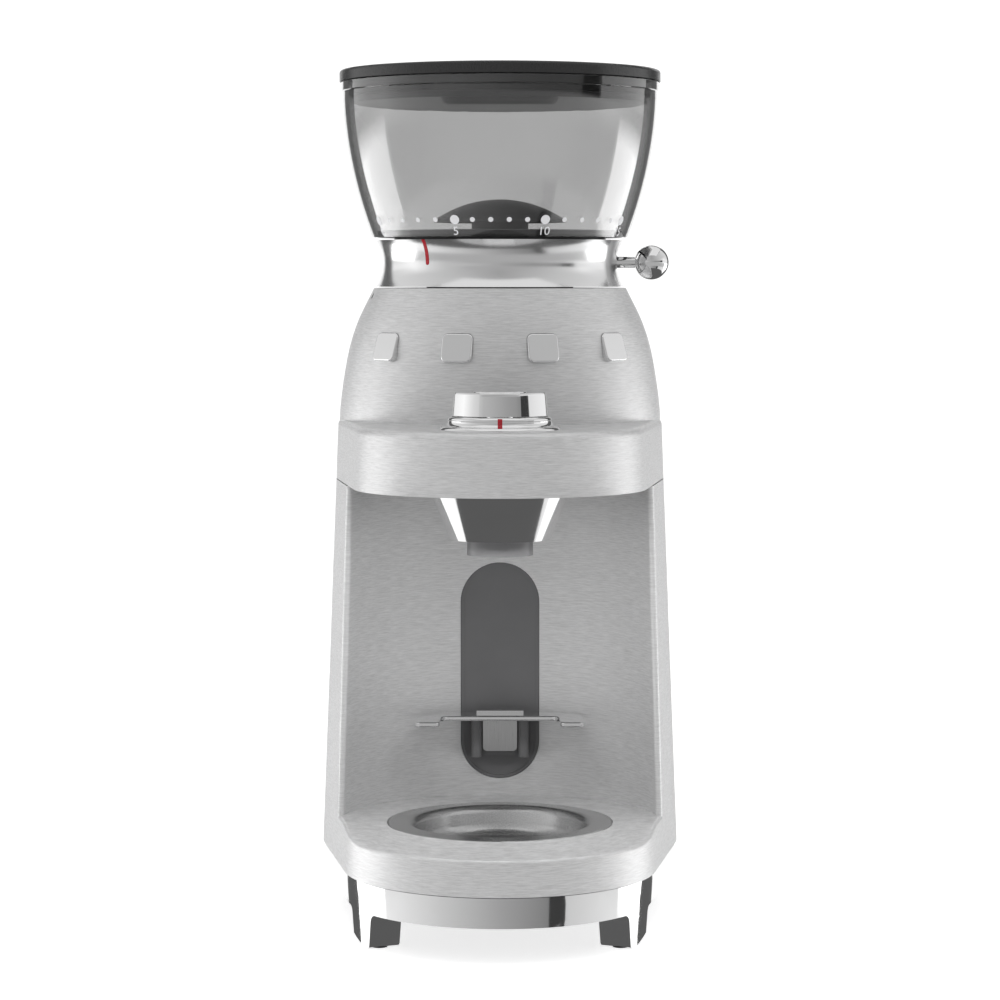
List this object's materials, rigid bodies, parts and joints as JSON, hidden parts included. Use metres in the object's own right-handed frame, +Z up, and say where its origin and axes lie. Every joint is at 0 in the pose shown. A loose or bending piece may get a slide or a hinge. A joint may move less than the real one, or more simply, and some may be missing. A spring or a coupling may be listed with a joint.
{
  "type": "burr coffee grinder",
  "caption": "Upright electric burr coffee grinder with smoky bean hopper, adjusting collar and lever, overhanging head with knob, filter-holder fork and dish.",
  "frame": {"origin": "middle of the footprint on the worktop", "axes": "+Z up, -Y the front with the knob, spout and fork, +X the user's right with the lever"},
  "size_m": [0.1646, 0.2242, 0.384],
  "materials": {
    "brushed_aluminium": "fine horizontal brushing",
    "chrome": "mirror polish",
    "satin_steel": "satin, turned",
    "polished_collar": "satin polish",
    "brushed_steel": "vertical brushing",
    "dark_plastic": "fine matt moulded",
    "smoky_plastic": "clear smoky copolyester",
    "rubber": "matt",
    "red_enamel": "gloss enamel",
    "die_casting": "as cast",
    "white_nylon": "moulded",
    "steel": "machined",
    "copper": "turned copper",
    "circuit_board": "solder mask"
  },
  "bodies": {
    "housing": {"lower_housing": "brushed_aluminium", "dish_well": "dark_plastic", "foot_band": "chrome", "foot_pads": "rubber", "bottom_cover": "dark_plastic", "base_screws": "steel", "cord_gland": "dark_plastic", "back_panel": "dark_plastic", "fork_socket": "dark_plastic", "head_shell": "brushed_aluminium", "badge_tiles": "chrome", "chassis_plate": "die_casting", "column_screws": "steel", "funnel": "chrome", "spout": "dark_plastic", "chute": "dark_plastic", "burr_chamber": "dark_plastic", "chamber_screws": "steel", "shaft_bearings": "steel", "idler_bushes": "copper", "gearbox_housing": "dark_plastic", "gearbox_cover": "dark_plastic", "motor_can": "steel", "motor_cap": "steel", "motor_stator": "steel", "motor_brushes": "dark_plastic", "power_board": "circuit_board", "knob_encoder": "dark_plastic", "start_switch": "dark_plastic", "knob_ring": "chrome"},
    "dish_body": {"dish": "satin_steel"},
    "fork_body": {"fork": "chrome", "fork_tongue": "brushed_steel"},
    "collar_body": {"collar": "polished_collar", "grind_pointer": "red_enamel", "drive_ring": "white_nylon", "lever_rod": "chrome", "lever_ball": "chrome"},
    "carrier_body": {"burr_carrier": "white_nylon", "ring_burr": "steel"},
    "burr_body": {"burr_shaft": "steel", "cone_burr": "steel", "impeller": "white_nylon", "burr_nut": "steel", "output_gear": "white_nylon"},
    "idler_body": {"idler_shaft": "steel", "idler_wheel": "white_nylon", "idler_pinion": "white_nylon"},
    "motor_body": {"motor_shaft": "steel", "motor_rotor": "steel", "commutator": "copper", "motor_pinion": "steel"},
    "knob_body": {"knob": "chrome"},
    "button_body": {"start_button": "chrome"},
    "hopper_body": {"hopper": "smoky_plastic", "hopper_base": "dark_plastic", "bean_guard": "dark_plastic"},
    "lid_body": {"lid_cap": "dark_plastic", "lid_plug": "dark_plastic", "lid_seal": "rubber"}
  },
  "joints": [
    {"name": "grind_adjust", "type": "hinge", "parent": "housing", "child": "collar_body", "pos_m": [0, 0.024, 0.297], "axis": [0, 0, 1], "range_deg": [-25, 225]},
    {"name": "burr_climb", "type": "slide", "parent": "collar_body", "child": "carrier_body", "axis": [0, 0, 1], "range_m": [-0.00016, 0.00136]},
    {"name": "motor_spin", "type": "hinge", "parent": "housing", "child": "motor_body", "pos_m": [0, 0.072, 0.15], "axis": [0, 0, 1], "continuous": true},
    {"name": "idler_spin", "type": "hinge", "parent": "housing", "child": "idler_body", "pos_m": [0.02012, 0.05016, 0.21], "axis": [0, 0, 1], "continuous": true},
    {"name": "burr_spin", "type": "hinge", "parent": "housing", "child": "burr_body", "pos_m": [0, 0.024, 0.25], "axis": [0, 0, 1], "continuous": true},
    {"name": "knob_turn", "type": "hinge", "parent": "housing", "child": "knob_body", "pos_m": [0, -0.073, 0.235], "axis": [0, 0, 1], "range_deg": [-135, 135]},
    {"name": "button_press", "type": "slide", "parent": "knob_body", "child": "button_body", "axis": [0, 0, -1], "range_m": [0, 0.002], "stiffness_N_per_m": 600, "springref_m": -0.002},
    {"name": "fork_lift", "type": "slide", "parent": "housing", "child": "fork_body", "axis": [0, 0, 1], "range_m": [0, 0.03]},
    {"name": "dish_lift", "type": "slide", "parent": "housing", "child": "dish_body", "axis": [0, 0, 1], "range_m": [0, 0.03]},
    {"name": "hopper_lift", "type": "slide", "parent": "housing", "child": "hopper_body", "axis": [0, 0, 1], "range_m": [0, 0.06]},
    {"name": "lid_lift", "type": "slide", "parent": "hopper_body", "child": "lid_body", "axis": [0, 0, 1], "range_m": [0, 0.04]}
  ],
  "couplings": [
    {"joint": "burr_climb", "follows": "grind_adjust", "m_per_rad": 0.00034},
    {"joint": "idler_spin", "follows": "motor_spin", "ratio": -0.22222},
    {"joint": "burr_spin", "follows": "motor_spin", "ratio": 0.055556}
  ]
}
